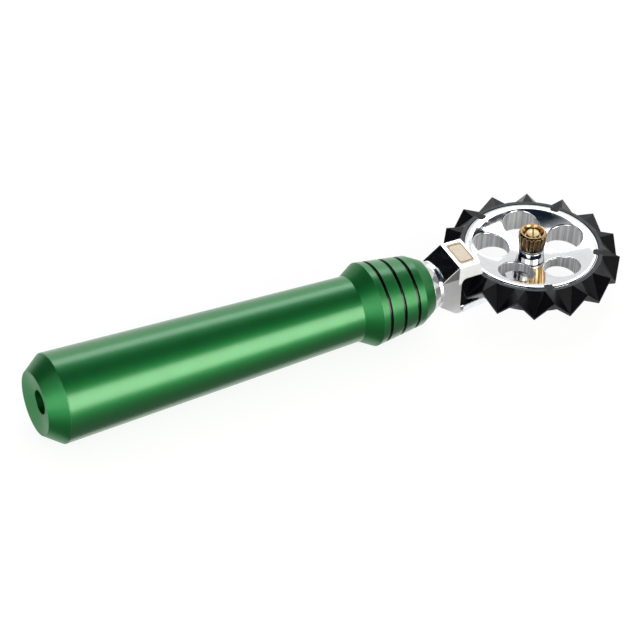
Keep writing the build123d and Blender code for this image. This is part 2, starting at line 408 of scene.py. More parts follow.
class Tree:
    """Node tree of a material or a world, with short calls to add and link nodes."""

    def __init__(self, owner: bpy.types.ID) -> None:
        """Starts with the owner's tree empty."""
        owner.use_nodes = True
        self.tree = owner.node_tree
        self.tree.nodes.clear()

    def fill(self, target: Socket, value: object) -> None:
        """Links a value to a socket, or sets a constant on it."""
        if isinstance(value, Socket):
            self.tree.links.new(value, target)
        else:
            target.default_value = value

    def fill_all(self, node: bpy.types.Node, values: dict[str, object]) -> bpy.types.Node:
        """Fills a node's inputs, named with underscores for spaces, and gives the node back."""
        for name, value in values.items():
            self.fill(node.inputs[name.replace("_", " ")], value)
        return node

    def node(self, kind: str, **values: object) -> bpy.types.Node:
        """Adds a node and fills its inputs."""
        return self.fill_all(self.tree.nodes.new("ShaderNode" + kind), values)

    def math(self, kind: str, first: Socket, second: Socket | float) -> Socket:
        """Arithmetic on two values.

        Args:
            kind: Operation of the math node.
            first: First value.
            second: Second value, a socket or a number.

        Returns:
            The result's socket.
        """
        node = self.node("Math")
        node.operation = kind
        self.fill(node.inputs[0], first)
        self.fill(node.inputs[1], second)
        return node.outputs[0]

    def backed(self, output: str, light: bpy.types.Node, white: bpy.types.Node) -> None:
        """Ends the tree in one shader for light, and in a white one for rays that show the surround.

        Those are the rays from the camera, mirrored ones and ones through glass.

        Args:
            output: Kind of the output node.
            light: Shader for the light on the object.
            white: Shader of the white surround.
        """
        path = self.node("LightPath")
        seen = path.outputs["Is Camera Ray"]
        for name in ("Is Glossy Ray", "Is Transmission Ray"):
            seen = self.math("MAXIMUM", seen, path.outputs[name])
        mix = self.node("MixShader")
        for target, value in zip(mix.inputs, (seen, light.outputs[0], white.outputs[0])):
            self.fill(target, value)
        self.node(output, Surface=mix.outputs[0])


class Graph(Tree):
    """Node tree of one material that ends in a principled shader."""

    MIX_FIRST, MIX_SECOND, MIX_RESULT = 6, 7, 2

    def __init__(self, name: str) -> None:
        """Starts an empty material with its shader and output."""
        self.material = bpy.data.materials.new(name)
        super().__init__(self.material)
        self.shader = self.node("BsdfPrincipled")
        self.node("OutputMaterial", Surface=self.shader.outputs["BSDF"])

    def set(self, **values: object) -> None:
        """Fills the shader's own sockets: constants are set on them, other values linked."""
        self.fill_all(self.shader, values)

    def place(self, scale: Triple) -> Socket:
        """Object coordinates times a scale for each axis."""
        source = self.node("TexCoord").outputs["Object"]
        return self.node("Mapping", Scale=scale, Vector=source).outputs["Vector"]

    def millimetres(self) -> list[Socket]:
        """Object coordinates in millimetres, one socket for each axis."""
        return list(self.node("SeparateXYZ", Vector=self.place((1 / MM,) * 3)).outputs)

    def noise(self, scale: Triple | float, detail: float, rough: float = 0.5) -> Socket:
        """Noise on object coordinates.

        Args:
            scale: Repeats in each metre, for all axes or one for each.
            detail: Octaves.
            rough: Share that each octave keeps.

        Returns:
            The value's socket.
        """
        place = self.place(scale if isinstance(scale, tuple) else (scale,) * 3)
        node = self.node("TexNoise", Scale=1.0, Detail=detail, Roughness=rough, Vector=place)
        return node.outputs["Fac"]

    def spread(self, value: Socket, low: float, high: float, source: Pair = (0.3, 0.7)) -> Socket:
        """Maps a value from a source range to low and high, clamped."""
        ends = {"From_Min": source[0], "From_Max": source[1], "To_Min": low, "To_Max": high}
        return self.node("MapRange", Value=value, **ends).outputs["Result"]

    def rise(self, value: Socket, start: float, end: float) -> Socket:
        """Share that goes from none at a start to one at an end."""
        return self.spread(value, 0.0, 1.0, (start, end))

    def fall(self, value: Socket, start: float, end: float) -> Socket:
        """Share that goes from one at a start to none at an end."""
        return self.spread(value, 1.0, 0.0, (start, end))

    def times(self, first: Socket, second: Socket | float) -> Socket:
        """Product of two values."""
        return self.math("MULTIPLY", first, second)

    def blend(self, share: Socket, first: Triple | Socket, second: Triple) -> Socket:
        """Mixes two colours by a share.

        Args:
            share: Share of the second colour.
            first: First colour, constant or a socket.
            second: Second colour.

        Returns:
            The mixed colour's socket.
        """
        node = self.node("Mix")
        node.data_type = "RGBA"
        self.fill(node.inputs["Factor"], share)
        self.fill(node.inputs[self.MIX_FIRST], first if isinstance(first, Socket) else (*first, 1.0))
        self.fill(node.inputs[self.MIX_SECOND], (*second, 1.0))
        return node.outputs[self.MIX_RESULT]

    def attribute(self, name: str) -> Socket:
        """Value of a mesh attribute."""
        node = self.node("Attribute")
        node.attribute_name = name
        return node.outputs["Fac"]

    def bump(self, height: Socket, strength: float, depth_mm: float) -> None:
        """Adds a bump under the shader's normal, after any bump already there.

        Args:
            height: Height of the bump.
            strength: Share of it that shows.
            depth_mm: Depth at full height.
        """
        node = self.node("Bump", Strength=strength, Distance=depth_mm * MM, Height=height)
        target = self.shader.inputs["Normal"]
        if target.is_linked:
            self.fill(node.inputs["Normal"], target.links[0].from_socket)
        self.fill(target, node.outputs["Normal"])


@dataclass(frozen=True)
class AnodisedFinish:
    """Satin dyed oxide over turned aluminium: fine turned rings, a clear layer, paler worn edges that partly
    stand for painted edge glints, and painted shade in the grooves.
    """

    name: str = "green_anodised"
    colour: Triple = (0.012, 0.182, 0.040)
    pale: Triple = (0.014, 0.198, 0.045)
    # Paler colour on rounded edges: partly real wear, partly painted glints.
    worn: Triple = (0.10, 0.30, 0.14)
    # Painted shade: the dark green that the grooves' insides are darkened to.
    painted_groove_shade: Triple = (0.004, 0.014, 0.006)
    rough: Pair = (0.47, 0.53)
    ring_bump: Pair = (0.05, 0.004)
    clear: Pair = (0.85, 0.30)
    clear_rough: float = 0.24
    clear_ior: float = 1.6
    rear_cone_x: Pair = (3.6, 4.4)
    flare_start_x: Pair = (102.8, 103.2)
    flare_end_x: Pair = (107.9, 108.3)
    nose_x: Pair = (123.9, 124.3)

    def material(self) -> Material:
        """Builds the node material, whose clear layer is thinner on the cones than on the grip.

        Returns:
            The material.
        """
        graph = Graph(self.name)
        x = graph.millimetres()[0]
        flare = graph.times(graph.rise(x, *self.flare_start_x), graph.fall(x, *self.flare_end_x))
        ends = graph.math("ADD", graph.fall(x, *self.rear_cone_x), graph.rise(x, *self.nose_x))
        cones = graph.math("ADD", flare, ends)
        cloud = graph.spread(graph.noise(160.0, 3.0), 0.0, 1.0)
        rings = graph.noise((5200.0, 50.0, 50.0), 2.0)
        chips = graph.spread(graph.noise(1400.0, 4.0), 0.2, 1.0, (0.4, 0.65))
        wear = graph.attribute("wear")
        dyed = graph.blend(cloud, self.colour, self.pale)
        # Worn edges turn paler where the chips allow: real wear, and also painted glints on the rounded edges.
        clean = graph.blend(graph.times(wear, chips), dyed, self.worn)
        graph.set(Metallic=1.0, Coat_Roughness=self.clear_rough, Coat_IOR=self.clear_ior)
        graph.set(Coat_Weight=graph.spread(cones, *self.clear, UNIT))
        # Painted shade in the grooves: negative wear blends the colour towards the groove shade.
        graph.set(Base_Color=graph.blend(graph.rise(wear, 0.0, -1.0), clean, self.painted_groove_shade))
        graph.set(Roughness=graph.spread(rings, *self.rough))
        graph.bump(rings, *self.ring_bump)
        return graph.material


@dataclass(frozen=True)
class ChromeFinish:
    """Polished plate with faint hairlines and the slight unevenness of the metal under it."""

    name: str = "chrome"
    colour: Triple = (0.93, 0.935, 0.95)
    shade: Triple = (0.86, 0.87, 0.895)
    smooth: float = 0.045
    dull: float = 0.11
    wave_scale: float = 190.0
    wave: float = 0.10
    wave_depth: float = 0.12
    hair_bump: Pair = (0.04, 0.004)
    metal: float = 1.0
    zone: SatinZone = SatinZone.NONE
    satin_rough: float = 0.42
    streak: Triple = (0.20, 0.205, 0.21)
    wall_white: float = 0.48
    # Painted dark reflection on the fork block's side, strongest at its top.
    painted_dark_side: Triple = (0.10, 0.10, 0.105)
    side_y: Pair = (6.20, 6.40)
    lip_x: Pair = (137.3, 137.6)
    lip_z: Pair = (2.0, 3.0)
    # Share of the fork lip's sides turned white instead of metal: a painted bright reflection.
    lip_painted_white: Pair = (0.08, 0.77)
    arm_x: Pair = (138.5, 139.2)
    arm_z: Pair = (-3.0, -1.0)
    arm_satin: Pair = (1.0, 0.1)
    painted_dark_z: Pair = (4.5, 4.8)
    painted_dark_share: Pair = (0.10, 0.75)

    def worn_walls(self, graph: Graph, tint: Socket) -> tuple[Socket, Socket, Socket]:
        """Satin where the wear attribute marks a hole's wall, with streaks along the axle.

        Args:
            graph: Graph of the material.
            tint: Colour of the polished plate.

        Returns:
            The satin share, the share that is white instead of metal, and the colour.
        """
        share = graph.attribute("wear")
        streaks = graph.rise(graph.noise((1300.0, 1300.0, 20.0), 2.0), 0.25, 0.75)
        streaked = graph.blend(graph.times(share, streaks), tint, self.streak)
        return share, graph.times(share, self.wall_white), streaked

    def fork_sides_painted_light(self, graph: Graph, tint: Socket) -> tuple[Socket, Socket, Socket]:
        """Satin on the fork's sides by where they lie, with painted reflection: partly white instead of metal
        on the lip, and painted dark on the block, darkest at its top.

        Args:
            graph: Graph of the material.
            tint: Colour of the polished plate.

        Returns:
            The satin share, the share that is white instead of metal, and the colour.
        """
        x, y, z = graph.millimetres()
        side = graph.rise(graph.math("ABSOLUTE", y, 0.0), *self.side_y)
        lip = graph.times(graph.rise(x, *self.lip_x), graph.rise(z, *self.lip_z))
        arm = graph.times(graph.rise(x, *self.arm_x), graph.fall(z, *self.arm_z))
        share = graph.times(side, graph.spread(arm, *self.arm_satin, UNIT))
        # Painted bright reflection: the lip's sides are made partly white.
        white = graph.times(share, graph.spread(lip, *self.lip_painted_white, UNIT))
        block = graph.times(share, graph.fall(lip, *UNIT))
        # Painted dark reflection on the block's side, rising towards its top.
        dark = graph.times(graph.spread(z, *self.painted_dark_share, self.painted_dark_z), block)
        return share, white, graph.blend(dark, tint, self.painted_dark_side)

    def material(self) -> Material:
        """Builds the node material, with the satin zone left unpolished; on the fork's sides that zone also
        carries painted reflection.

        Returns:
            The material.
        """
        graph = Graph(self.name)
        film = graph.noise(420.0, 4.0)
        hair = graph.noise((900.0, 2600.0, 900.0), 3.0)
        wave = graph.noise(self.wave_scale, 1.0)
        tint = graph.blend(graph.spread(film, 0.0, 1.0), self.colour, self.shade)
        rough = graph.spread(film, self.smooth, self.dull)
        if self.zone is SatinZone.NONE:
            graph.set(Metallic=self.metal)
        else:
            find = self.worn_walls if self.zone is SatinZone.WORN else self.fork_sides_painted_light
            share, white, tint = find(graph, tint)
            rough = graph.math("MAXIMUM", rough, graph.times(share, self.satin_rough))
            graph.set(Metallic=graph.fall(white, *UNIT))
        graph.set(Base_Color=tint, Roughness=rough)
        graph.bump(wave, self.wave, self.wave_depth)
        graph.bump(hair, *self.hair_bump)
        return graph.material


@dataclass(frozen=True)
class PlasticFinish:
    """Moulded black plastic: fine grain, soft sheen and small pale scuffs."""

    name: str = "black_plastic"
    colour: Triple = (0.002, 0.002, 0.003)
    scuff: Triple = (0.014, 0.014, 0.016)
    smooth: float = 0.26
    dull: float = 0.36
    scuffed: float = 0.4
    sheen: float = 0.95
    facing: float = 0.04
    grain_bump: Pair = (0.18, 0.02)

    def material(self) -> Material:
        """Builds the node material.

        Returns:
            The material.
        """
        graph = Graph(self.name)
        scuffs = graph.noise((1500.0, 1500.0, 700.0), 5.0, 0.6)
        marks = graph.spread(scuffs, 0.0, self.scuffed, (0.56, 0.74))
        graph.set(Specular_IOR_Level=self.sheen, Specular_Tint=(self.facing,) * 3 + (1.0,))
        graph.set(Base_Color=graph.blend(marks, self.colour, self.scuff))
        graph.set(Roughness=graph.spread(graph.noise(300.0, 4.0), self.smooth, self.dull))
        graph.bump(graph.noise(5200.0, 3.0), *self.grain_bump)
        return graph.material


@dataclass(frozen=True)
class BrassFinish:
    """Turned and lacquered brass, bright on its crests and tarnished in its hollows."""

    name: str = "brass"
    colour: Triple = (0.40, 0.255, 0.105)
    tarnish: Triple = (0.068, 0.036, 0.013)
    smooth: float = 0.10
    dull: float = 0.18
    metal: float = 1.0
    lacquer: float = 0.6
    lacquer_rough: float = 0.16
    stained: float = 0.30
    line_bump: Pair = (0.06, 0.006)

    def material(self) -> Material:
        """Builds the node material.

        Returns:
            The material.
        """
        graph = Graph(self.name)
        stain = graph.noise(420.0, 3.0)
        spots = graph.spread(stain, 0.0, self.stained, (0.45, 0.75))
        hollow = graph.math("MAXIMUM", graph.attribute("wear"), spots)
        graph.set(Metallic=self.metal, Coat_Weight=self.lacquer, Coat_Roughness=self.lacquer_rough)
        graph.set(Base_Color=graph.blend(hollow, self.colour, self.tarnish))
        graph.set(Roughness=graph.spread(stain, self.smooth, self.dull))
        graph.bump(graph.noise((120.0, 120.0, 6000.0), 2.0), *self.line_bump)
        return graph.material


@dataclass(frozen=True)
class TurnedSteelFinish:
    """Bare steel or bronze with fine turned or sintered grain."""

    name: str = "steel"
    colour: Triple = (0.56, 0.56, 0.575)
    stain: Triple = (0.38, 0.375, 0.37)
    smooth: float = 0.18
    dull: float = 0.36
    grain_bump: Pair = (0.08, 0.01)

    def material(self) -> Material:
        """Builds the node material.

        Returns:
            The material.
        """
        graph = Graph(self.name)
        stain = graph.spread(graph.noise(500.0, 4.0), 0.0, 1.0)
        grain = graph.noise(2600.0, 3.0)
        graph.set(Metallic=1.0, Base_Color=graph.blend(stain, self.colour, self.stain))
        graph.set(Roughness=graph.spread(grain, self.smooth, self.dull))
        graph.bump(grain, *self.grain_bump)
        return graph.material


@dataclass(frozen=True)
class PlateFinish:
    """Pale gilt plate, brushed along the tool, with a thin dark line inside its edge."""

    name: str = "gilt_plate"
    colour: Triple = (0.54, 0.465, 0.375)
    shade: Triple = (0.45, 0.37, 0.27)
    line: Triple = (0.20, 0.115, 0.035)
    metal: float = 0.3
    rough: Pair = (0.20, 0.38)
    brush_bump: Pair = (0.10, 0.008)

    def material(self) -> Material:
        """Builds the node material.

        Returns:
            The material.
        """
        graph = Graph(self.name)
        brushed = graph.noise((260.0, 5200.0, 260.0), 3.0)
        tint = graph.blend(graph.spread(brushed, 0.0, 1.0), self.colour, self.shade)
        border = graph.rise(graph.attribute("wear"), 0.45, 0.55)
        graph.set(Metallic=self.metal, Base_Color=graph.blend(border, tint, self.line))
        graph.set(Roughness=graph.spread(brushed, *self.rough))
        graph.bump(brushed, *self.brush_bump)
        return graph.material


@dataclass
class Finishes:
    """One material of each finish, shared by the pieces."""

    anodised: Material
    ring_chrome: Material
    spun_chrome: Material
    cast_chrome: Material
    plastic: Material
    scuffs_and_painted_sheen_plastic: Material
    brass: Material
    dome_painted_highlight_brass: Material
    slot_painted_shade_brass: Material
    steel: Material
    bronze: Material
    gilt: Material

    @classmethod
    def mixed(cls) -> "Finishes":
        """Builds every material once.

        Returns:
            The materials.
        """
        recipes = {
            "anodised": AnodisedFinish(),
            "ring_chrome": ChromeFinish("chrome", (0.66, 0.665, 0.68), (0.61, 0.62, 0.64), metal=0.70),
            "spun_chrome": ChromeFinish(
                "spun_chrome", (0.75, 0.755, 0.77), (0.69, 0.70, 0.72), zone=SatinZone.WORN),
            "cast_chrome": ChromeFinish(
                "cast_chrome", smooth=0.07, dull=0.17, wave_scale=140.0, wave=0.07,
                zone=SatinZone.FORK_SIDES_PAINTED_LIGHT),
            "plastic": PlasticFinish(),
            # Paler, more scuffed plastic for the ring's zigzag flat and lip: real scuffs and a painted sheen.
            "scuffs_and_painted_sheen_plastic": PlasticFinish(
                "black_plastic_scuffs_and_painted_sheen", (0.031, 0.033, 0.042), (0.10, 0.10, 0.11), 0.34, 0.46, 0.8, 0.9, 0.20),
            "brass": BrassFinish(),
            # Lit and shaded copies of the brass: a painted highlight on the axle's dome and painted shade in
            # its slot.
            "dome_painted_highlight_brass": BrassFinish("brass_dome_painted_highlight", (1.0, 0.76, 0.40), (0.70, 0.48, 0.20), 0.30, 0.40, 0.30),
            "slot_painted_shade_brass": BrassFinish("brass_slot_painted_shade", (0.20, 0.11, 0.04), (0.12, 0.06, 0.02), 0.35, 0.50),
            "steel": TurnedSteelFinish(),
            "bronze": TurnedSteelFinish("bronze", (0.44, 0.27, 0.13), (0.30, 0.18, 0.09), 0.30, 0.48),
            "gilt": PlateFinish(),
        }
        return cls(**{key: recipe.material() for key, recipe in recipes.items()})


# Handle and fork


@dataclass
class Handle:
    """Turned grip with a dished rear end and bore, a flare, a grooved collar and a conical nose."""

    bore_r: float = 3.75
    bore_end_x: float = 25.0
    drill_point: float = 2.0
    rim_x: float = -1.5
    rim_r: float = 10.0
    rim_land: float = 0.3
    grip_x: float = 4.0
    grip_r: float = 14.0
    waist_x: float = 103.0
    waist_r: float = 10.35
    collar_x: float = 108.1
    collar_r: float = 13.3
    collar_end_x: float = 124.1
    collar_front_r: float = 11.15
    front_x: float = 128.25
    nose_r: float = 8.85
    groove_count: int = 3
    groove_first: float = 2.73
    groove_pitch: float = 5.17
    groove_width: float = 1.1
    groove_depth: float = 1.0
    spigot_hole_r: float = 5.02
    spigot_hole_x: float = 120.25
    stud_hole_r: float = 3.02
    stud_hole_x: float = 106.75
    hole_edge: float = 0.05
    # Where the painted shade in the collar's grooves lies: margin from the collar's ends, depth where it
    # starts, depth of full shade, and radius below which it stops.
    groove_shade_margin: float = 1.0
    groove_shade_from: float = 0.12
    groove_shade_full: float = 0.5
    groove_shade_r: float = 9.04
    steps: int = 192

    def collar_radius(self, x: Array) -> Array:
        """Radius of the tapered collar at a station, grooves left out."""
        return np.interp(x, (self.collar_x, self.collar_end_x), (self.collar_r, self.collar_front_r))

    def grooves(self) -> Array:
        """Corners of the collar's grooves: in at one side, across the floor and out at the other.

        Returns:
            Rows of station, radius, rounding and wear.
        """
        centres = self.collar_x + self.groove_first + self.groove_pitch * np.arange(self.groove_count)
        x = centres[:, None] + self.groove_width * np.array((-0.5, -0.5, 0.5, 0.5))
        floor_r = self.collar_radius(centres)[:, None] - self.groove_depth
        radius = np.where(np.array((True, False, False, True)), self.collar_radius(x), floor_r)
        rounding = np.broadcast_to((0.12, 0.20, 0.20, 0.12), x.shape)
        wear = np.broadcast_to((0.7, 0.0, 0.0, 0.7), x.shape)
        return np.stack([x, radius, rounding, wear], axis=-1).reshape(-1, 4)

    def groove_shaded(self, points: Array, wear: Array) -> Array:
        """Wear with the grooves' insides below zero, in step with their depth, which the finish paints as
        shade.

        Args:
            points: Rows of station and radius.
            wear: Wear at each row.

        Returns:
            The changed wear.
        """
        x, radius = points.T
        depth = self.collar_radius(x) - radius
        on_collar = (x > self.collar_x + self.groove_shade_margin) & (x < self.collar_end_x - self.groove_shade_margin)
        in_groove = on_collar & (depth > self.groove_shade_from) & (radius > self.groove_shade_r)
        return np.where(in_groove, -np.clip(depth / self.groove_shade_full, 0.0, 1.0), wear)

    def profile(self) -> Array:
        """Corners from the bore's drill point round the outside to the stud's hole.

        Returns:
            Rows of station, radius, rounding and wear.
        """
        rear = corner_rows(
            (self.bore_end_x + self.drill_point, 0.0),
            (self.bore_end_x, self.bore_r, self.hole_edge),
            (0.0, self.bore_r, 0.20, 0.7),
            (self.rim_x, self.rim_r - self.rim_land, 0.15, 0.4),
            (self.rim_x, self.rim_r, 0.15, 0.7),
            (self.grip_x, self.grip_r, 0.60, 0.6),
            (self.waist_x, self.waist_r, 0.30),
            (self.collar_x, self.collar_r, 0.30, 0.8),
        )
        nose = corner_rows(
            (self.collar_end_x, self.collar_front_r, 0.45, 0.5),
            (self.front_x, self.nose_r, 0.12, 0.4),
            (self.front_x, self.spigot_hole_r, self.hole_edge),
            (self.spigot_hole_x, self.spigot_hole_r, self.hole_edge),
            (self.spigot_hole_x, self.stud_hole_r, self.hole_edge),
            (self.stud_hole_x, self.stud_hole_r, self.hole_edge),
            (self.stud_hole_x, 0.0),
        )
        return np.concatenate([rear, self.grooves(), nose])

    def build(self, finishes: Finishes) -> None:
        """Turns the profile about X and puts it on the handle's frame.

        Args:
            finishes: Materials to choose from.
        """
        points, wear = rounded(self.profile(), closed=False)
        surface = lathe(points, self.groove_shaded(points, wear), Axis.X, self.steps, False)
        add_piece(surface, "turned_handle", finishes.anodised, Body.HANDLE_FRAME, "handle")


@dataclass
class Ferrule:
    """Bright conical ring between the handle's nose and the fork's neck."""

    rear_x: float = 128.25
    rear_r: float = 8.85
    front_x: float = 130.8
    front_r: float = 7.5
    bore_r: float = 5.02
    bore_edge: float = 0.05
    steps: int = 160

    def build(self, finishes: Finishes) -> None:
        """Turns the ring's closed section about X.

        Args:
            finishes: Materials to choose from.
        """
        corners = corner_rows(
            (self.rear_x, self.bore_r, self.bore_edge),
            (self.rear_x, self.rear_r, 0.12),
            (self.front_x, self.front_r, 0.18),
            (self.front_x, self.bore_r, self.bore_edge),
        )
        surface = lathe(*rounded(corners, closed=True), Axis.X, self.steps, True)
        add_piece(surface, "conical_ferrule", finishes.ring_chrome, Body.HANDLE_FRAME, "ferrule")


@dataclass
class Fork:
    """Cast fork, carried over with its spigot's stud, and a bare plate let into the top of its lip."""

    rear_x: float = 138.35
    front_x: float = 143.75
    rear_half_width: float = 5.2
    front_half_width: float = 5.0
    corner_r: float = 0.9
    corner_steps: int = 12
    seat_z: float = 9.26
    top_z: float = 9.36
    edge_r: float = 0.05
    line_inset: float = 0.34
    line_width: float = 0.26
    line_edge: float = 0.01

    def plate(self) -> Surface:
        """Rounded trapezium lofted from its foot over its edge to its middle.

        Each row is the outline drawn in towards the centre by a share, at that row's level. Rows on
        the thin line inside the edge carry full wear, which the finish paints dark.

        Returns:
            The plate's surface.
        """
        corners = corner_rows(
            (self.rear_x, -self.rear_half_width, self.corner_r),
            (self.front_x, -self.front_half_width, self.corner_r),
            (self.front_x, self.front_half_width, self.corner_r),
            (self.rear_x, self.rear_half_width, self.corner_r),
        )
        outline, _ = rounded(corners, closed=True, steps=self.corner_steps)
        centre = np.array(((self.rear_x + self.front_x) / 2, 0.0))
        half = (self.front_x - self.rear_x) / 2
        outer, inner = self.line_inset, self.line_inset + self.line_width
        inset = np.array((self.edge_r, outer - self.line_edge, outer, inner, inner + self.line_edge))
        share = np.concatenate([[0.0, 0.0], inset / half, [0.5, 1.0]])
        level = np.array((self.seat_z, self.top_z - self.edge_r) + (self.top_z,) * 7)
        dark = np.array((0.0, 0.0, 0.0, 0.0, 1.0, 1.0, 0.0, 0.0, 0.0))
        plan = centre + (outline - centre)[None] * (1 - share)[:, None, None]
        foot = grid(lifted(plan[[-1, 0]], self.seat_z))
        return joined([foot, grid(lifted(plan, level[:, None]), dark)])

    def build(self, finishes: Finishes) -> None:
        """Dresses the casting and the stud, and adds the plate.

        Args:
            finishes: Materials to choose from.
        """
        dress_node("fork", finishes.cast_chrome)
        dress_node("fork_stud", finishes.steel)
        piece = make_piece(self.plate(), "lip_plate")
        dress(piece.data, finishes.gilt)
        settle(piece, Body.HANDLE_FRAME)


# Wheel


@dataclass
class KeyedCircle:
    """Joint line of hub and ring: a circle with a rounded key towards the axle at each spoke."""

    hub_r: float = 21.1
    key_width: float = 2.8
    key_depth: float = 1.7
    key_corner_r: float = 0.8

    def points(self, from_spoke: Array, circle_r: float, clearance: float) -> Array:
        """Points of the joint line in a spoke's own frame, X along the spoke.

        Within the key's share of the angle the line is walked by its length: half the key's flat end,
        a quarter circle, then the side out to the circle. Beyond it the point is on the circle.

        Args:
            from_spoke: Angles from the spoke in degrees.
            circle_r: Radius of the circle.
            clearance: How far the key is grown all round.

        Returns:
            Plan points, one for each angle.
        """
        half = self.key_width / 2 + clearance
        corner = self.key_corner_r + clearance
        end = self.hub_r - self.key_depth - clearance
        mouth = math.sqrt(circle_r ** 2 - half ** 2)
        flat, quarter = half - corner, corner * QUARTER
        total = flat + quarter + mouth - end - corner
        angle, side = np.abs(from_spoke), np.sign(from_spoke)
        walk = np.minimum(angle / KEY_SHARE, 1.0) * total
        bend = np.clip((walk - flat) / corner, 0.0, QUARTER)
        mouth_angle = math.degrees(math.asin(half / circle_r))
        beyond = (angle - KEY_SHARE) / (HALF_STEP - KEY_SHARE)
        circle = polar(circle_r, mouth_angle + beyond * (HALF_STEP - mouth_angle))
        key_x = end + corner * (1 - np.cos(bend)) + np.maximum(walk - flat - quarter, 0.0)
        key_y = np.minimum(walk, flat) + corner * np.sin(bend)
        in_key = angle <= KEY_SHARE
        x = np.where(in_key, key_x, circle[:, 0])
        y = np.where(in_key, key_y, circle[:, 1])
        return np.stack([x, y * side], axis=1)


@dataclass
class WheelHub:
    """Dished disc with five round holes, a boss and a keyed rim."""

    hub_r: float = 21.1
    rim_half: float = 4.1
    rim_inner_r: float = 19.0
    seam_r: float = 19.2
    dish_inner_half: float = 1.45
    boss_r: float = 4.1
    boss_half: float = 3.4
    boss_edge: float = 0.3
    boss_foot: float = 0.3
    bush_seat_r: float = 3.12
    bush_seat_edge: float = 0.05
    hole_r: float = 5.65
    hole_circle_r: float = 12.5
    hole_edge_r: float = 0.35
    rim_edge: float = 0.3
    rim_round: float = 0.30
    crown_r: float = 20.2
    crown_rate: float = 0.30
    key_edge: float = 0.12
    seat_clearance: float = 0.02
    arc_steps: int = 25
    side_steps: int = 20
    round_rows: int = 7
    web_rows: int = 25
    wall_rows: int = 4
    rim_rows: int = 8
    edge_rows: int = 6
    sharp: float = 50.0

    def from_spoke(self) -> Array:
        """Angles from a spoke, close together across its keyway.

        Returns:
            Angles from half a step before the spoke to half a step after it.
        """
        key = np.linspace(0.0, KEY_SHARE, KEY_STEPS)
        half = np.concatenate([key, np.linspace(KEY_SHARE, HALF_STEP, self.arc_steps)[1:]])
        return np.concatenate([-half[:0:-1], half])

    def from_hole(self) -> Array:
        """The same angles seen from the hole between two spokes."""
        angles = self.from_spoke()
        return np.concatenate([angles[angles >= 0] - HALF_STEP, angles[angles <= 0][1:] + HALF_STEP])

    def top_level(self, radius: Array) -> Array:
        """Height of the disc's upper face.

        With c and R the centre height and radius of the sphere that hollows the disc, the height is
        c - sqrt(R^2 - r^2). The rim beyond is flat up to a radius s and then falls by k (r - s)^2.
        A smooth minimum rounds the corner between them.

        Args:
            radius: Distance from the axle.

        Returns:
            The height at each radius.
        """
        rise = self.rim_half - self.dish_inner_half
        centre = self.dish_inner_half + (self.rim_inner_r ** 2 - self.boss_r ** 2 + rise ** 2) / (2 * rise)
        sphere = self.boss_r ** 2 + (centre - self.dish_inner_half) ** 2
        hollow = centre - np.sqrt(sphere - radius ** 2)
        crown = self.rim_half - self.crown_rate * np.maximum(radius - self.crown_r, 0.0) ** 2
        gap = np.clip(0.5 + (crown - hollow) / (2 * self.rim_round), 0.0, 1.0)
        return crown + gap * (hollow - crown) - self.rim_round * gap * (1 - gap)

    def web(self) -> tuple[Surface, Array]:
        """Upper half of the disc round one hole.

        Rays run from the hole's centre to the border of its sector. A point at distance d from the
        hole's edge on its ray has the section's height at its radius, less the drop
        e - sqrt(e^2 - (e - d)^2) of the edge's quarter round, and the hole's wall goes on down to Z = 0.
        The wall carries full wear, which the finish leaves unpolished.

        Returns:
            The surface, and the height along the border on the boss.
        """
        arc, lines = self.from_hole(), np.linspace(self.seam_r, self.boss_r, self.side_steps)[1:-1]
        border = np.concatenate([
            polar(self.seam_r, arc),
            polar(lines, HALF_STEP),
            polar(self.boss_r, arc[::-1]),
            polar(lines[::-1], -HALF_STEP),
        ])
        middle = np.array((self.hole_circle_r, 0.0))
        ray = unit(border - middle)
        gap = np.linalg.norm(border - middle, axis=1) - self.hole_r
        edge = self.hole_edge_r
        round_rows = edge * (1 - np.cos(np.linspace(0.0, QUARTER, self.round_rows)))
        flat_rows = np.linspace(0.0, 1.0, self.web_rows)[1:]
        past_edge = np.maximum(gap - edge, 0.0)
        distance = np.concatenate([
            np.minimum(round_rows[:, None], gap[None]),
            np.minimum(edge, gap)[None] + flat_rows[:, None] * past_edge[None],
        ])
        plan = middle + ray[None] * (self.hole_r + distance)[..., None]
        left = np.maximum(edge - distance, 0.0)
        drop = edge - np.sqrt(edge ** 2 - left ** 2)
        level = self.top_level(np.linalg.norm(plan, axis=-1)) - drop
        wall_level = np.linspace(0.0, 1.0, self.wall_rows + 1)[:-1, None] * level[:1]
        wall = lifted(np.broadcast_to(plan[:1], (self.wall_rows, *plan.shape[1:])), wall_level)
        wear = np.concatenate([np.ones(self.wall_rows + 1), np.zeros(len(plan) - 1)])
        surface = grid(np.concatenate([wall, lifted(plan, level)]), wear)
        on_boss = slice(len(arc) + len(lines), 2 * len(arc) + len(lines))
        return surface, level[-1, on_boss][::-1]

    def boss(self, foot: Array) -> Surface:
        """Boss above the disc: its foot follows the disc, then wall, rounded edge, top and bush seat.

        Args:
            foot: Height of the foot along one sector.

        Returns:
            The surface.
        """
        section, _ = rounded(corner_rows(
            (self.dish_inner_half + self.boss_foot, self.boss_r),
            (self.boss_half, self.boss_r, self.boss_edge),
            (self.boss_half, self.bush_seat_r, self.bush_seat_edge),
            (0.0, self.bush_seat_r),
        ), closed=False)
        angles = (SPOKE_STEP * np.arange(SPOKES)[:, None] + self.from_hole()[None, :-1]).ravel()
        plan = polar(section[:, 1:2], angles[None])
        first = lifted(plan[:1], np.tile(foot[:-1], SPOKES)[None])
        return grid(np.concatenate([first, lifted(plan, section[:, :1])]))

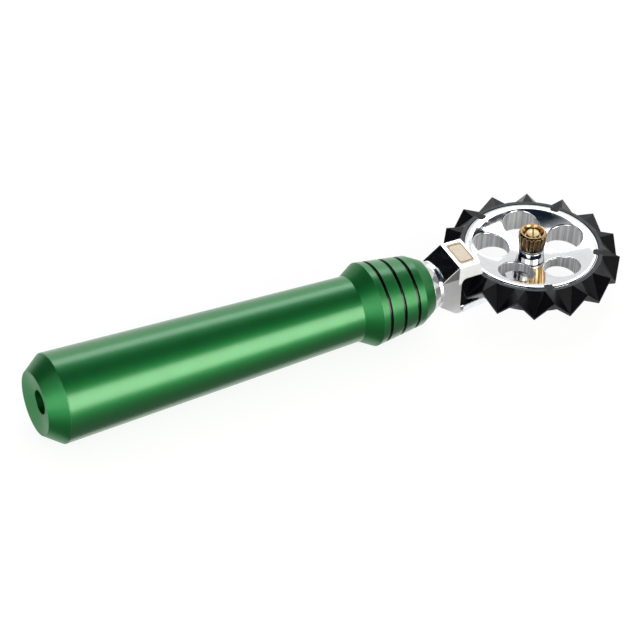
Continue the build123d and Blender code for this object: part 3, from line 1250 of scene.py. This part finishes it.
    def rim(self) -> Surface:
        """Rim from the seam out to the keyed joint line, over its edge and down to Z = 0.

        The edge's rows take the joint line drawn in by e (1 - sin a), lower by e (1 - cos a),
        with one e for the circle and a smaller one for the keyways.

        Returns:
            The surface, in the frame of the first hole.
        """
        line, angles = KeyedCircle(), self.from_spoke()[:-1]
        turn = np.linspace(0.0, QUARTER, self.edge_rows)
        rows = np.array([
            line.points(angles, self.hub_r - self.rim_edge * inset, self.seat_clearance + self.key_edge * inset)
            for inset in 1 - np.sin(turn)])
        edge = np.where(np.abs(angles) <= KEY_SHARE, self.key_edge, self.rim_edge)
        seam = polar(self.seam_r, angles)
        top = seam + np.linspace(0.0, 1.0, self.rim_rows + 1)[:-1, None, None] * (rows[0] - seam)
        plan = np.concatenate([top, rows])
        level = self.top_level(np.linalg.norm(plan, axis=-1))
        level[len(top):] -= edge[None] * (1 - np.cos(turn))[:, None]
        sector = np.concatenate([lifted(plan, level), lifted(rows[-1:], 0.0)])
        return grid(at_spokes(sector, -HALF_STEP))

    def build(self, finishes: Finishes) -> None:
        """Joins webs, boss and rim, mirrors them downwards and puts the hub on the wheel.

        Args:
            finishes: Materials to choose from.
        """
        web, foot = self.web()
        webs = [web.turned(SPOKE_STEP * index) for index in range(SPOKES)]
        upper = joined(webs + [self.boss(foot), self.rim()])
        whole = joined([upper, upper.mirrored()]).turned(WHEEL_REST + HALF_STEP).moved(WHEEL_CENTRE)
        add_piece(whole, "dished_hub", finishes.spun_chrome, Body.WHEEL, "hub", self.sharp)
        dress_node("hub_bush", finishes.bronze)


@dataclass
class ToothedRing:
    """Black ring with a zigzag edge: upper and lower teeth alternate, with tapering troughs between."""

    tooth_count: int = 15
    tooth_step: float = 24.0
    base_angle: float = 8.8
    last_angle: float = 34.0
    seat_r: float = 21.12
    lip_r: float = 22.4
    lip_half: float = 4.0
    tip_r: float = 27.8
    tip_half: float = 3.16
    land: float = 0.62
    edge_r: float = 0.10
    ridge_round: float = 0.07
    ridge_segments: int = 2
    flat_margin: float = 0.2
    lip_margin_z: float = 0.02
    lip_margin_r: float = 0.1
    sharp: float = 12.0

    def from_spoke(self) -> Array:
        """Angles from a spoke, close together across its key, with one at each corner of a tooth's base.

        Returns:
            Angles from half a step before the spoke up to the next copy's first.
        """
        base, step = self.base_angle / 2, self.tooth_step / 2
        corners = (step * np.arange(3)[:, None] + np.array((base, step - base))).ravel()
        between = (corners[1:] + corners[:-1]) / 2
        key = np.linspace(0.0, KEY_SHARE, KEY_STEPS)
        half = np.sort(np.concatenate([key, corners, between, [self.last_angle]]))
        return np.concatenate([[-HALF_STEP], -half[:0:-1], half])

    def troughs(self, angles: Array, lip: Array, own: Array, other: Array,
                phase: float) -> tuple[Array, Array]:
        """Triangles of one side's teeth and troughs.

        Each step along the lip is joined to its own side's tip if it is in the base of that tooth,
        and to the other side's tip in the trough if not. Where that changes, a flank joins both tips.

        Args:
            angles: Angle of each point of the lip.
            lip: Index of each point of the lip.
            own: Indices of this side's tips, one for each tooth.
            other: Indices of the other side's tips, each half a step after this side's.
            phase: Angle of this side's first tip.

        Returns:
            The triangles, and the indices of the corners of the teeth's bases.
        """
        span = np.mod(np.roll(angles, -1) - angles, 360.0)
        place = np.mod(angles + span / 2 - phase, 360.0) / self.tooth_step
        nearest = np.rint(place)
        on_tooth = np.abs(place - nearest) * self.tooth_step < self.base_angle / 2
        tooth = own[nearest.astype(int) % self.tooth_count]
        tip = np.where(on_tooth, tooth, other[np.floor(place).astype(int) % self.tooth_count])
        change = tip != np.roll(tip, 1)
        fans = np.stack([lip, tip, np.roll(lip, -1)], axis=1)
        flanks = np.stack([lip, np.roll(tip, 1), tip], axis=1)[change]
        return np.concatenate([fans, flanks]), lip[change]

    def surface(self) -> Surface:
        """The ring as an array of points and faces.

        The lip is ruled from the keyed joint line to a circle. From the circle, fans run out to the
        tips of its own side and down to those of the other, and a flat of even height follows the
        zigzag from tip to tip.

        Returns:
            The surface. Tips and corners of the teeth carry full wear, which marks the ridges between them.
        """
        line, angles, half_tooth = KeyedCircle(), self.from_spoke(), self.tooth_step / 2
        rings = at_spokes(np.stack([
            line.points(angles, self.seat_r, 0.0),
            line.points(angles, self.seat_r + self.edge_r, -self.edge_r),
            polar(self.lip_r, angles),
        ]))
        levels = np.array((self.lip_half - self.edge_r, self.lip_half, self.lip_half))[:, None]
        band = grid(np.concatenate([lifted(rings, levels)[::-1], lifted(rings, -levels)]))
        count, teeth, size = rings.shape[1], self.tooth_count, len(band.points)
        around = (SPOKE_STEP * np.arange(SPOKES)[:, None] + angles).ravel()
        tip_angles = self.tooth_step * np.arange(teeth)
        high, low = polar(self.tip_r, tip_angles), polar(self.tip_r, tip_angles + half_tooth)
        inner = self.tip_half - self.land
        tips = [lifted(high, self.tip_half), lifted(high, inner),
                lifted(low, -inner), lifted(low, -self.tip_half)]
        tip, under, over, toe = size + np.arange(4 * teeth).reshape(4, -1)
        top_lip, bottom_lip = np.arange(count), size - count + np.arange(count)
        top, top_corners = self.troughs(around, top_lip, tip, over, 0.0)
        bottom, bottom_corners = self.troughs(around, bottom_lip, toe, np.roll(under, -1), half_tooth)
        flats = np.concatenate([
            np.stack([tip, under, toe, over], axis=1),
            np.stack([over, toe, np.roll(under, -1), np.roll(tip, -1)], axis=1),
        ])
        points = np.concatenate([band.points, *tips])
        wear = np.zeros(len(points))
        wear[np.concatenate([top_corners, bottom_corners, tip, under, over, toe])] = 1.0
        return Surface(points, [band.faces[0], flats, top, bottom], wear)

    def round_ridges(self, piece: Piece) -> None:
        """Rounds the edges that join tips and corners, and gives zigzag flat and lip the second finish, a paler
        plastic that paints the sheen these faces catch.

        Args:
            piece: The ring.
        """
        mesh = piece.data
        marks = np.zeros(len(mesh.vertices), np.float32)
        mesh.attributes["wear"].data.foreach_get("value", marks)
        ends = np.zeros(2 * len(mesh.edges), np.int32)
        mesh.edges.foreach_get("vertices", ends)
        ridge = (marks[ends.reshape(-1, 2)] > 0.5).all(axis=1)
        weight = mesh.attributes.new("bevel_weight_edge", "FLOAT", "EDGE")
        weight.data.foreach_set("value", ridge.astype(np.float32))
        local = face_centres(mesh, WHEEL_CENTRE)
        from_axle = np.hypot(local[:, 0], local[:, 1])
        flat_r = self.tip_r * math.cos(math.radians(self.tooth_step / 4))
        on_flat = from_axle > flat_r - self.flat_margin
        on_lip = np.abs(local[:, 2]) > self.lip_half - self.lip_margin_z
        on_lip = on_lip & (from_axle > self.seat_r + self.lip_margin_r)
        # Painted sheen: zigzag flat and lip take the paler second plastic.
        mesh.polygons.foreach_set("material_index", (on_flat | on_lip).astype(np.int32))
        modify(piece, "rounded_ridges", "BEVEL", limit_method="WEIGHT", width=self.ridge_round * MM,
               segments=self.ridge_segments, use_clamp_overlap=False)

    def build(self, finishes: Finishes) -> None:
        """Puts the ring on the wheel.

        Args:
            finishes: Materials to choose from.
        """
        surface = self.surface().turned(WHEEL_REST).moved(WHEEL_CENTRE)
        piece = make_piece(surface, "zigzag_ring", self.sharp)
        dress(piece.data, finishes.plastic, finishes.scuffs_and_painted_sheen_plastic)
        self.round_ridges(piece)
        even_shading(piece)
        settle(piece, Body.WHEEL, "toothed_ring")


# Axle set


@dataclass
class ThumbNut:
    """Fluted brass nut, drawn in towards its foot, with a bevelled rim round a conical recess."""

    foot_z: float = 3.66
    top_z: float = 9.25
    nut_r: float = 4.42
    rim_r: float = 3.75
    top_bevel: float = 0.6
    foot_r: float = 4.15
    taper_height: float = 2.5
    recess_r: float = 3.45
    recess_floor_r: float = 2.6
    recess_z: float = 7.55
    bore_r: float = 2.05
    bore_edge: float = 0.05
    flute_count: int = 20
    flute_depth: float = 0.35
    flute_steps: int = 16
    spacing: float = 0.08
    sharp: float = 35.0

    def surface(self) -> Surface:
        """Turned section whose outside is cut back by the flutes.

        The radius at an angle a is the smaller of the section's and
        R - depth (1 - |cos(n a / 2)|), which has n round crests and n sharp hollows. The wear is the
        square of the flute's share of its depth, so that tarnish lies in the hollows.

        Returns:
            The nut's surface.
        """
        section, wear = rounded(corner_rows(
            (self.foot_z, self.bore_r, self.bore_edge),
            (self.foot_z, self.foot_r, 0.06),
            (self.foot_z + self.taper_height, self.nut_r, 1.5),
            (self.top_z - self.top_bevel, self.nut_r, 0.18),
            (self.top_z, self.rim_r, 0.12),
            (self.top_z, self.recess_r, 0.10),
            (self.recess_z, self.recess_floor_r, 0.35, 0.6),
            (self.recess_z, self.bore_r, self.bore_edge),
        ), closed=True)
        loop = np.concatenate([section, section[:1]])
        section, wear = refined(loop, np.append(wear, wear[0]), self.spacing)
        degrees = full_turn(self.flute_steps * self.flute_count)
        hollow = 1 - np.abs(np.cos(np.radians(degrees) * self.flute_count / 2))
        limit = self.nut_r - self.flute_depth * hollow
        radius = np.minimum(section[:-1, 1:2], limit[None])
        surface = grid(lifted(polar(radius, degrees[None]), section[:-1, :1]), wear[:-1], closed=True)
        outside = (section[:-1, 1] > limit.min())[:, None] * hollow[None]
        surface.wear = np.maximum(surface.wear, outside.ravel() ** 2)
        return surface

    def build(self, finishes: Finishes) -> None:
        """Puts the nut on its own body."""
        surface = self.surface().moved(AXLE_CENTRE)
        add_piece(surface, "fluted_nut", finishes.brass, Body.THUMB_NUT, "thumb_nut", self.sharp)


@dataclass
class Axle:
    """Stepped pin with a cut thread and a slotted domed end."""

    foot_z: float = -9.3
    tail_r: float = 2.1
    chamfer: float = 0.4
    shoulder_z: float = -5.05
    journal_r: float = 2.6
    thread_z: float = 3.05
    thread_r: float = 2.0
    thread_end_z: float = 8.75
    top_z: float = 9.45
    pitch: float = 0.7
    thread_depth: float = 0.30
    thread_start: float = 0.2
    fade_in: float = 0.5
    fade_out: float = 0.3
    corner_steps: int = 5
    stem_start: float = 0.15
    stem_rows: int = 110
    dome_rows: int = 16
    steps: int = 96
    slot_width: float = 0.6
    slot_depth: float = 0.8
    slot_angle: float = 60.0
    end_margin: float = 0.2
    slot_margin: float = 0.01
    dome_margin: float = 0.05
    sharp: float = 35.0

    def ball_r(self) -> float:
        """Radius of the ball that the domed end is part of."""
        dome = self.top_z - self.thread_end_z
        return (self.thread_r ** 2 + dome ** 2) / (2 * dome)

    def surface(self) -> Surface:
        """Turned pin with a helical groove.

        The radius at height z and angle a is the section's, less depth times |2 p - 1| with p the
        fractional part of z / pitch - a / 360, faded out at both ends of the thread.

        Returns:
            The pin's surface.
        """
        section, _ = rounded(corner_rows(
            (self.foot_z, 0.0),
            (self.foot_z, self.tail_r - self.chamfer, 0.05),
            (self.foot_z + self.chamfer, self.tail_r, 0.08),
            (self.shoulder_z, self.tail_r, 0.05),
            (self.shoulder_z, self.journal_r, 0.08),
            (self.thread_z, self.journal_r, 0.10),
            (self.thread_z, self.thread_r, 0.05),
            (self.thread_end_z, self.thread_r),
        ), closed=False, steps=self.corner_steps)
        stem = np.linspace(self.thread_z + self.stem_start, self.thread_end_z, self.stem_rows)
        stem = np.stack([stem, np.full_like(stem, self.thread_r)], axis=1)
        dome_r = self.thread_r * np.cos(np.linspace(0.0, QUARTER, self.dome_rows)[1:])
        dome_z = self.top_z - self.ball_r() + np.sqrt(self.ball_r() ** 2 - dome_r ** 2)
        section = np.concatenate([section[:-1], stem, np.stack([dome_z, dome_r], axis=1)])
        degrees, height = full_turn(self.steps), section[:, :1]
        place = np.mod(height / self.pitch - degrees[None] / 360.0, 1.0)
        fade = np.clip((height - self.thread_z - self.thread_start) / self.fade_in, 0.0, 1.0)
        fade = fade * np.clip((self.thread_end_z - height) / self.fade_out, 0.0, 1.0)
        radius = section[:, 1:2] - self.thread_depth * fade * np.abs(2 * place - 1)
        return grid(lifted(polar(radius, degrees[None]), height))

    def cut_slot(self, piece: Piece) -> None:
        """Cuts the slot across the domed end with a bar, and drops the bar.

        Args:
            piece: The pin.
        """
        plan = RECTANGLE * np.array((4 * self.thread_r, self.slot_width))
        levels = np.array((-self.slot_depth, self.slot_depth))[:, None]
        bar = grid(lifted(np.stack([plan, plan]), levels))
        bar.faces.append(np.arange(8).reshape(2, 4))
        bar = bar.turned(self.slot_angle).moved((AXLE_CENTRE[0], AXLE_CENTRE[1], self.top_z))
        cutter = make_piece(bar, "slot_bar")
        modify(piece, "slot", "BOOLEAN", operation="DIFFERENCE", solver="EXACT", object=cutter)
        shown = piece.evaluated_get(bpy.context.evaluated_depsgraph_get())
        mesh = bpy.data.meshes.new_from_object(shown)
        piece.modifiers.clear()
        piece.data = mesh
        bpy.data.objects.remove(cutter)

    def paint_end(self, mesh: bpy.types.Mesh, finishes: Finishes) -> None:
        """Gives the dome a brighter, less metallic brass as painted highlight and the slot's faces a dark one
        as painted shade, by where each face lies.

        Args:
            mesh: The pin's mesh.
            finishes: Materials to choose from.
        """
        dress(mesh, finishes.brass, finishes.dome_painted_highlight_brass, finishes.slot_painted_shade_brass)
        local = face_centres(mesh, AXLE_CENTRE) @ z_turn(self.slot_angle)
        ball_centre = np.array((0.0, 0.0, self.top_z - self.ball_r()))
        below_dome = self.ball_r() - np.linalg.norm(local - ball_centre, axis=1) > self.dome_margin
        on_end = local[:, 2] > self.thread_end_z - self.end_margin
        in_width = np.abs(local[:, 1]) < self.slot_width / 2 + self.slot_margin
        # Painted shade in the slot (2), painted highlight on the rest of the end (1).
        index = np.where(on_end & in_width & below_dome, 2, on_end)
        mesh.polygons.foreach_set("material_index", index.astype(np.int32))

    def build(self, finishes: Finishes) -> None:
        """Puts the pin on the handle's frame.

        Args:
            finishes: Materials to choose from.
        """
        piece = make_piece(self.surface().moved(AXLE_CENTRE), "threaded_axle", self.sharp)
        self.cut_slot(piece)
        piece.data.set_sharp_from_angle(angle=math.radians(self.sharp))
        even_shading(piece)
        self.paint_end(piece.data, finishes)
        settle(piece, Body.HANDLE_FRAME, "axle")


@dataclass
class Washer:
    """Turned washer with eased edges."""

    name: str
    node: str
    body: Body
    bore_r: float
    outer_r: float
    low_z: float
    high_z: float
    edge_r: float = 0.10
    steps: int = 128

    def build(self, finishes: Finishes) -> None:
        """Turns the washer's closed section about Z.

        Args:
            finishes: Materials to choose from.
        """
        corners = corner_rows(
            (self.low_z, self.bore_r, self.edge_r),
            (self.low_z, self.outer_r, self.edge_r),
            (self.high_z, self.outer_r, self.edge_r),
            (self.high_z, self.bore_r, self.edge_r),
        )
        surface = lathe(*rounded(corners, closed=True), Axis.Z, self.steps, True).moved(AXLE_CENTRE)
        add_piece(surface, self.name, finishes.steel, self.body, self.node)


# Stage


def facing(direction: Vector) -> Matrix:
    """Turn that points local +Z along a direction, with local Y upwards."""
    return direction.to_track_quat("Z", "Y").to_matrix().to_4x4()


def rectangle(name: str, points: Array, material: Material) -> Piece:
    """Adds a rectangle, with its share of height as a point attribute.

    Args:
        name: Name of the object.
        points: Its four corners in metres, lower edge first.
        material: Its material.

    Returns:
        The object.
    """
    mesh = bpy.data.meshes.new(name)
    mesh.from_pydata(points.tolist(), [], [(0, 1, 2, 3)])
    mesh.attributes.new("height", "FLOAT", "POINT").data.foreach_set("value", (0.0, 0.0, 1.0, 1.0))
    mesh.materials.append(material)
    return placed(name, mesh)


@dataclass(frozen=True)
class SoftBox:
    """Rectangular lamp that looks at a target from a direction."""

    name: str
    towards: Triple
    distance: float
    width: float
    height: float
    radiance: float
    colour: Triple

    def place(self, target: Vector) -> None:
        """Sets the lamp up. Its power is four times its area times its radiance.

        Args:
            target: Point that it looks at.
        """
        data = bpy.data.lights.new(self.name, "AREA")
        data.color = self.colour
        data.shape = "RECTANGLE"
        data.size, data.size_y = self.width, self.height
        data.energy = 4.0 * self.width * self.height * self.radiance
        direction = Vector(self.towards).normalized()
        lamp = placed(self.name, data)
        lamp.matrix_world = Matrix.Translation(target + direction * self.distance) @ facing(direction)
        lamp.visible_camera = False


@dataclass(frozen=True)
class Flag:
    """Dark card that only reflections see, with a pale far edge if it fades."""

    name: str
    towards: Triple
    distance: float
    width: float
    height: float
    shade: Triple
    fade: float = 0.0
    far_shade: Triple = (0.60, 0.61, 0.64)

    def finish(self) -> Material:
        """Even dark tone, which fades to pale grey over a share of the card's height at its far edge.

        Returns:
            The material.
        """
        graph = Graph(self.name)
        tone = (*self.shade, 1.0)
        if self.fade:
            share = graph.rise(graph.attribute("height"), 1.0 - self.fade, 1.0)
            tone = graph.blend(share, self.shade, self.far_shade)
        graph.set(Base_Color=(0.0, 0.0, 0.0, 1.0), Roughness=1.0, Specular_IOR_Level=0.0)
        graph.set(Emission_Strength=1.0, Emission_Color=tone)
        return graph.material

    def place(self, target: Vector) -> None:
        """Sets the card up where only reflections see it.

        Args:
            target: Point that it looks at.
        """
        plan = RECTANGLE * np.array((self.width, self.height))
        direction = Vector(self.towards).normalized()
        turn = np.array(facing(direction).to_3x3())
        points = lifted(plan, 0.0) @ turn.T + np.array(target + direction * self.distance)
        card = rectangle(self.name, points, self.finish())
        card.visible_camera = card.visible_diffuse = card.visible_shadow = card.visible_transmission = False


@dataclass
class Studio:
    """Pale floor, soft lamps, dark cards for the reflections, a grey card that paints the handle's shadow into
    the floor's reflection, and a white surround.
    """

    floor_z: float = -0.0141
    floor_size: float = 12.0
    ambient: float = 0.60
    floor_colour: float = 0.37
    floor_rough: float = 0.25
    floor_gloss: float = 0.4
    lit_share: float = 0.20
    glow: float = 0.84

    def floor(self) -> None:
        """Lays the floor: a smooth table top for light, a glow plus part of the lit floor where seen."""
        material = bpy.data.materials.new("floor_paper")
        tree = Tree(material)
        plain = tree.node("BsdfPrincipled", Base_Color=(self.floor_colour,) * 3 + (1.0,),
                          Roughness=self.floor_rough, Specular_IOR_Level=self.floor_gloss)
        lit = tree.node("BsdfDiffuse", Color=(self.lit_share,) * 3 + (1.0,))
        glow = tree.node("Emission", Strength=self.glow)
        both = tree.node("AddShader")
        for target, part in zip(both.inputs, (lit, glow)):
            tree.fill(target, part.outputs[0])
        tree.backed("OutputMaterial", plain, both)
        floor = rectangle("floor", lifted(RECTANGLE * self.floor_size, self.floor_z), material)

    def world(self) -> None:
        """White surround where it is seen, and a plain ambient level for the light."""
        world = bpy.data.worlds.new("studio")
        tree = Tree(world)
        light, white = (tree.node("Background", Strength=strength, Color=(1.0,) * 4)
                        for strength in (self.ambient, 1.0))
        tree.backed("OutputWorld", light, white)
        bpy.context.scene.world = world

    def build(self) -> None:
        """Sets up floor, surround, lamps and cards."""
        self.floor()
        self.world()
        tool, wheel = Vector((0.10, 0.0, 0.0)), Vector((0.167, 0.0, 0.0))
        left, right = tool - Vector((0.265, 0.0, 0.0)), tool + Vector((0.785, -0.275, 0.0))
        # Spot on the floor in front of the handle for the painted shadow card.
        low = Vector((0.10, -0.072, -0.0138))
        above, dark = (0.0, -0.144, 0.9895), (0.008, 0.015, 0.028)
        for part, target in (
            (SoftBox("front_softbox", (0.33, -0.885, 0.310), 0.95, 0.56, 0.64, 3.9, (1.0, 0.995, 0.88)), tool),
            (SoftBox("back_softbox", (0.341, 0.579, 0.741), 1.00, 0.70, 0.30, 2.45, (0.93, 0.97, 1.0)), wheel),
            (SoftBox("left_softbox", (-0.71, -0.57, 0.40), 1.00, 0.60, 0.85, 1.8, (1.0, 1.0, 0.97)), tool),
            (SoftBox("side_softbox", (0.670, 0.562, 0.485), 1.00, 0.22, 0.16, 0.98, (0.97, 0.98, 1.0)), wheel),
            (Flag("overhead_flag", above, 0.90, 1.57, 1.66, dark, 0.14), left),
            (Flag("overhead_right_flag", above, 0.90, 0.53, 1.11, dark), right),
            (Flag("side_flag", (0.661, 0.429, 0.616), 0.90, 0.23, 0.17, (0.010, 0.012, 0.018)), wheel),
            (Flag("side_high_flag", (0.575, 0.256, 0.777), 0.90, 0.18, 0.30, (0.075, 0.070, 0.085)), wheel),
            (Flag("rear_left_flag", (-0.58, 0.66, 0.48), 0.95, 0.75, 0.80, (0.004, 0.004, 0.005)), tool),
            # Painted shadow: grey card on the floor in front of the handle, seen only in reflections.
            (Flag("painted_shadow_flag", (0.0, 0.0, 1.0), 0.0, 0.26, 0.12, (0.22, 0.22, 0.22)), low),
        ):
            part.place(target)
        LOG.info("studio set up")


@dataclass(frozen=True)
class PhotoCamera:
    """Camera at the place and turn fitted to the photo."""

    position: Triple = (-0.26150, -0.63130, 0.60792)
    right: Triple = (0.88787, -0.45827, 0.04088)
    up: Triple = (0.26756, 0.58657, 0.76444)
    back: Triple = (-0.37430, -0.66778, 0.64341)
    lens: float = 175.04
    sensor: float = 36.0
    clip: Pair = (0.01, 30.0)

    def place(self) -> None:
        """Makes the camera the scene's own."""
        data = bpy.data.cameras.new("photo_camera")
        data.lens, data.sensor_width = self.lens, self.sensor
        data.clip_start, data.clip_end = self.clip
        camera = placed("photo_camera", data)
        columns = Matrix((self.right, self.up, self.back)).transposed()
        camera.matrix_world = Matrix.Translation(self.position) @ columns.to_4x4()
        bpy.context.scene.camera = camera


def main() -> None:
    """Builds the pieces in order, then the stage and the camera."""
    logging.basicConfig(level=logging.INFO, format="%(name)s %(message)s")
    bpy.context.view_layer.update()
    bpy.context.scene.view_settings.view_transform = "Standard"
    finishes = Finishes.mixed()
    for part in (
        Handle(), Ferrule(), Fork(), WheelHub(), ToothedRing(), Axle(),
        Washer("lower_washer", "lower_thrust_washer", Body.HANDLE_FRAME, 2.62, 5.0, -5.05, -4.05),
        Washer("upper_washer", "upper_thrust_washer", Body.NUT_WASHER, 2.05, 4.15, 3.05, 3.65),
        ThumbNut(),
    ):
        part.build(finishes)
    Studio().build()
    PhotoCamera().place()


if __name__ == "__main__":
    main()
